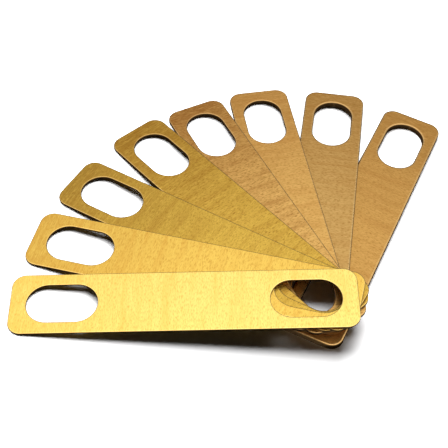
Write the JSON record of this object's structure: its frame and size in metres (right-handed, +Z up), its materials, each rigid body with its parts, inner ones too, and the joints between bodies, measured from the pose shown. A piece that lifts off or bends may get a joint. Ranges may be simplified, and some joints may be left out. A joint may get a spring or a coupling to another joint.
{
  "type": "feeler gauge leaf set",
  "caption": "Loose brass gauge leaves of graded thickness, each with a slot near both ends, fanned out by hand from one end.",
  "frame": {"origin": "middle of the bottom leaf's underside, where it lies flat on the table", "axes": "+Y along the bottom leaf towards its free end, +Z up out of the table, and the fan opens anticlockwise from +Y seen from above"},
  "size_m": [0.1017, 0.1373, 0.0113],
  "materials": {
    "bottom_leaf_brass": "brushed across, brown bronze tone",
    "second_leaf_brass": "brushed across, grey brown tone",
    "third_leaf_brass": "brushed across, tan tone",
    "fourth_leaf_brass": "brushed across, orange tan tone",
    "fifth_leaf_brass": "brushed across, olive gold tone",
    "sixth_leaf_brass": "brushed across, olive gold tone",
    "seventh_leaf_brass": "brushed across, golden tone",
    "top_leaf_brass": "brushed across, lemon gold tone"
  },
  "bodies": {
    "bottom_leaf": {"bottom_leaf": "bottom_leaf_brass"},
    "second_leaf": {"second_leaf": "second_leaf_brass"},
    "third_leaf": {"third_leaf": "third_leaf_brass"},
    "fourth_leaf": {"fourth_leaf": "fourth_leaf_brass"},
    "fifth_leaf": {"fifth_leaf": "fifth_leaf_brass"},
    "sixth_leaf": {"sixth_leaf": "sixth_leaf_brass"},
    "seventh_leaf": {"seventh_leaf": "seventh_leaf_brass"},
    "top_leaf": {"top_leaf": "top_leaf_brass"}
  },
  "joints": [
    {"name": "second_leaf_turn", "type": "hinge", "parent": "bottom_leaf", "child": "second_leaf", "pos_m": [-0.0025, -0.0375, 0.00263], "axis": [-0.037, -0.2545, 0.9664], "range_deg": [-17.11, 0]},
    {"name": "third_leaf_turn", "type": "hinge", "parent": "second_leaf", "child": "third_leaf", "pos_m": [-0.0025, -0.0375, 0.00452], "axis": [-0.0749, -0.0122, 0.9971], "range_deg": [-17.94, 0]},
    {"name": "fourth_leaf_turn", "type": "hinge", "parent": "third_leaf", "child": "fourth_leaf", "pos_m": [-0.0025, -0.0375, 0.0057], "axis": [-0.0802, -0.0011, 0.9968], "range_deg": [-16.61, 0]},
    {"name": "fifth_leaf_turn", "type": "hinge", "parent": "fourth_leaf", "child": "fifth_leaf", "pos_m": [-0.0025, -0.0375, 0.0067], "axis": [-0.0676, -0.0144, 0.9976], "range_deg": [-15.08, 0]},
    {"name": "sixth_leaf_turn", "type": "hinge", "parent": "fifth_leaf", "child": "sixth_leaf", "pos_m": [-0.0025, -0.0375, 0.00769], "axis": [-0.0457, -0.0291, 0.9985], "range_deg": [-18.27, 0]},
    {"name": "seventh_leaf_turn", "type": "hinge", "parent": "sixth_leaf", "child": "seventh_leaf", "pos_m": [-0.0025, -0.0375, 0.00873], "axis": [0.0034, -0.0399, 0.9992], "range_deg": [-15.92, 0]},
    {"name": "top_leaf_turn", "type": "hinge", "parent": "seventh_leaf", "child": "top_leaf", "pos_m": [-0.0025, -0.0375, 0.00962], "axis": [-0.0216, -0.0405, 0.9989], "range_deg": [-15.16, 0]}
  ]
}
